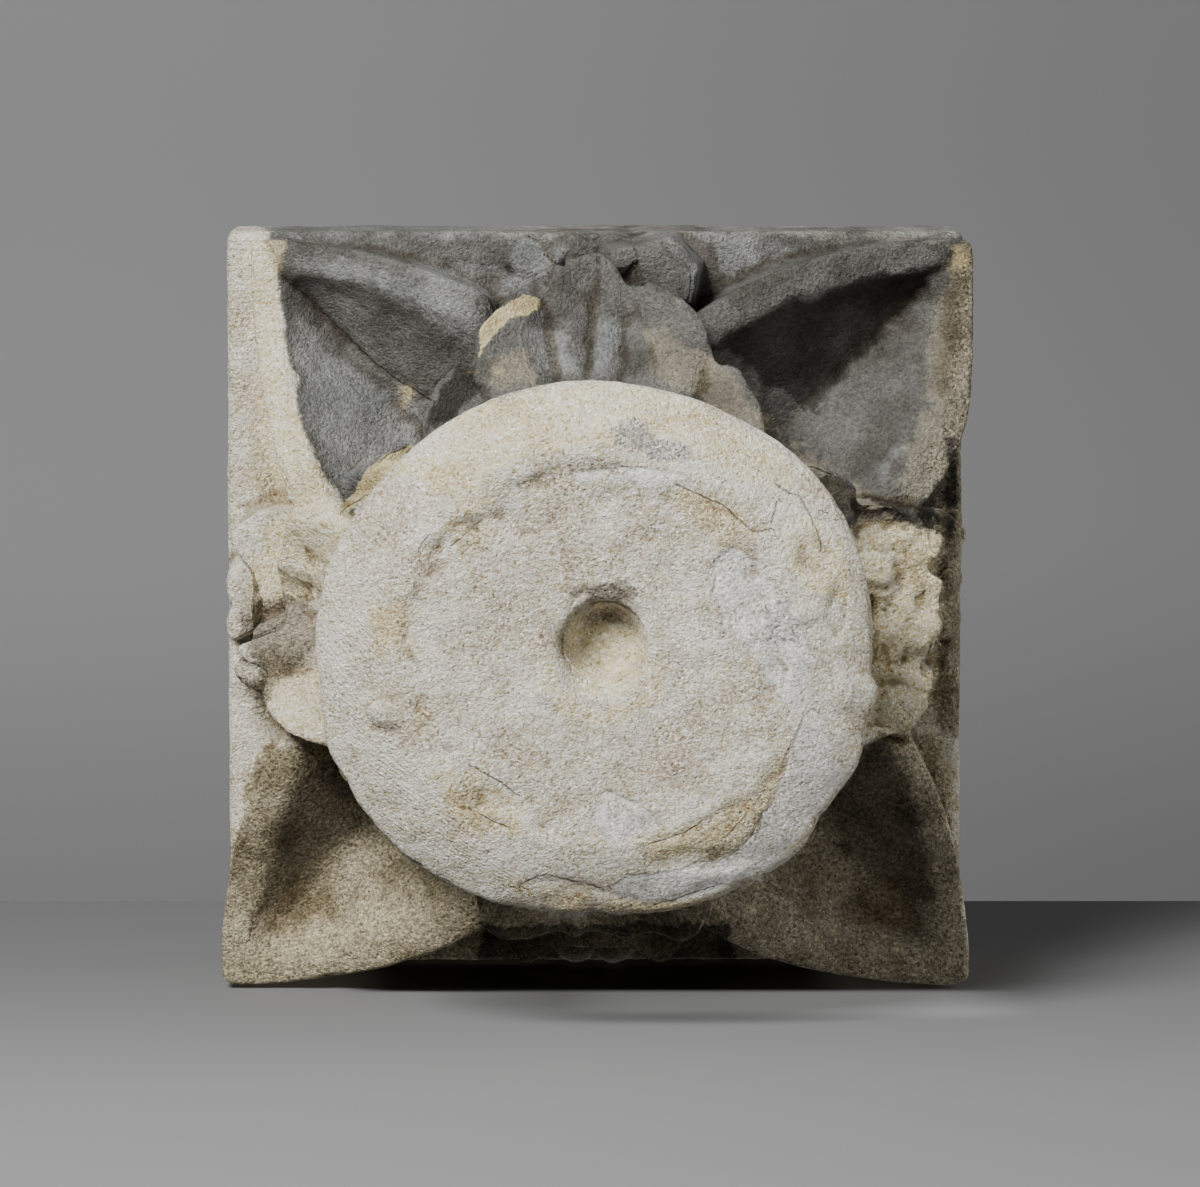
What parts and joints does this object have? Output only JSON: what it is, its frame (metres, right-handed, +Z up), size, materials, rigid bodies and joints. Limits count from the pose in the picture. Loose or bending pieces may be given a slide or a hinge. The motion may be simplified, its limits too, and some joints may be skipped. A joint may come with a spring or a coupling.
{
  "type": "sandstone column capital",
  "caption": "Square-topped stone capital: round necking, flared bell, folded corner leaves, lobed leaves on the sides, partly broken, with a dowel socket below.",
  "frame": {"origin": "middle of the bed face, the flat round underside that rests on the column, with the block centred on it in X and Y", "axes": "+Z runs up the axis of the column to the abacus, -Y looks out through the best kept side leaf, +X to its right as seen from the front"},
  "size_m": [0.27, 0.27, 0.235],
  "materials": {
    "sandstone": "rough carved sandstone, part black crust, part pale bare stone"
  },
  "bodies": {
    "root": {"capital": "sandstone"}
  },
  "joints": []
}
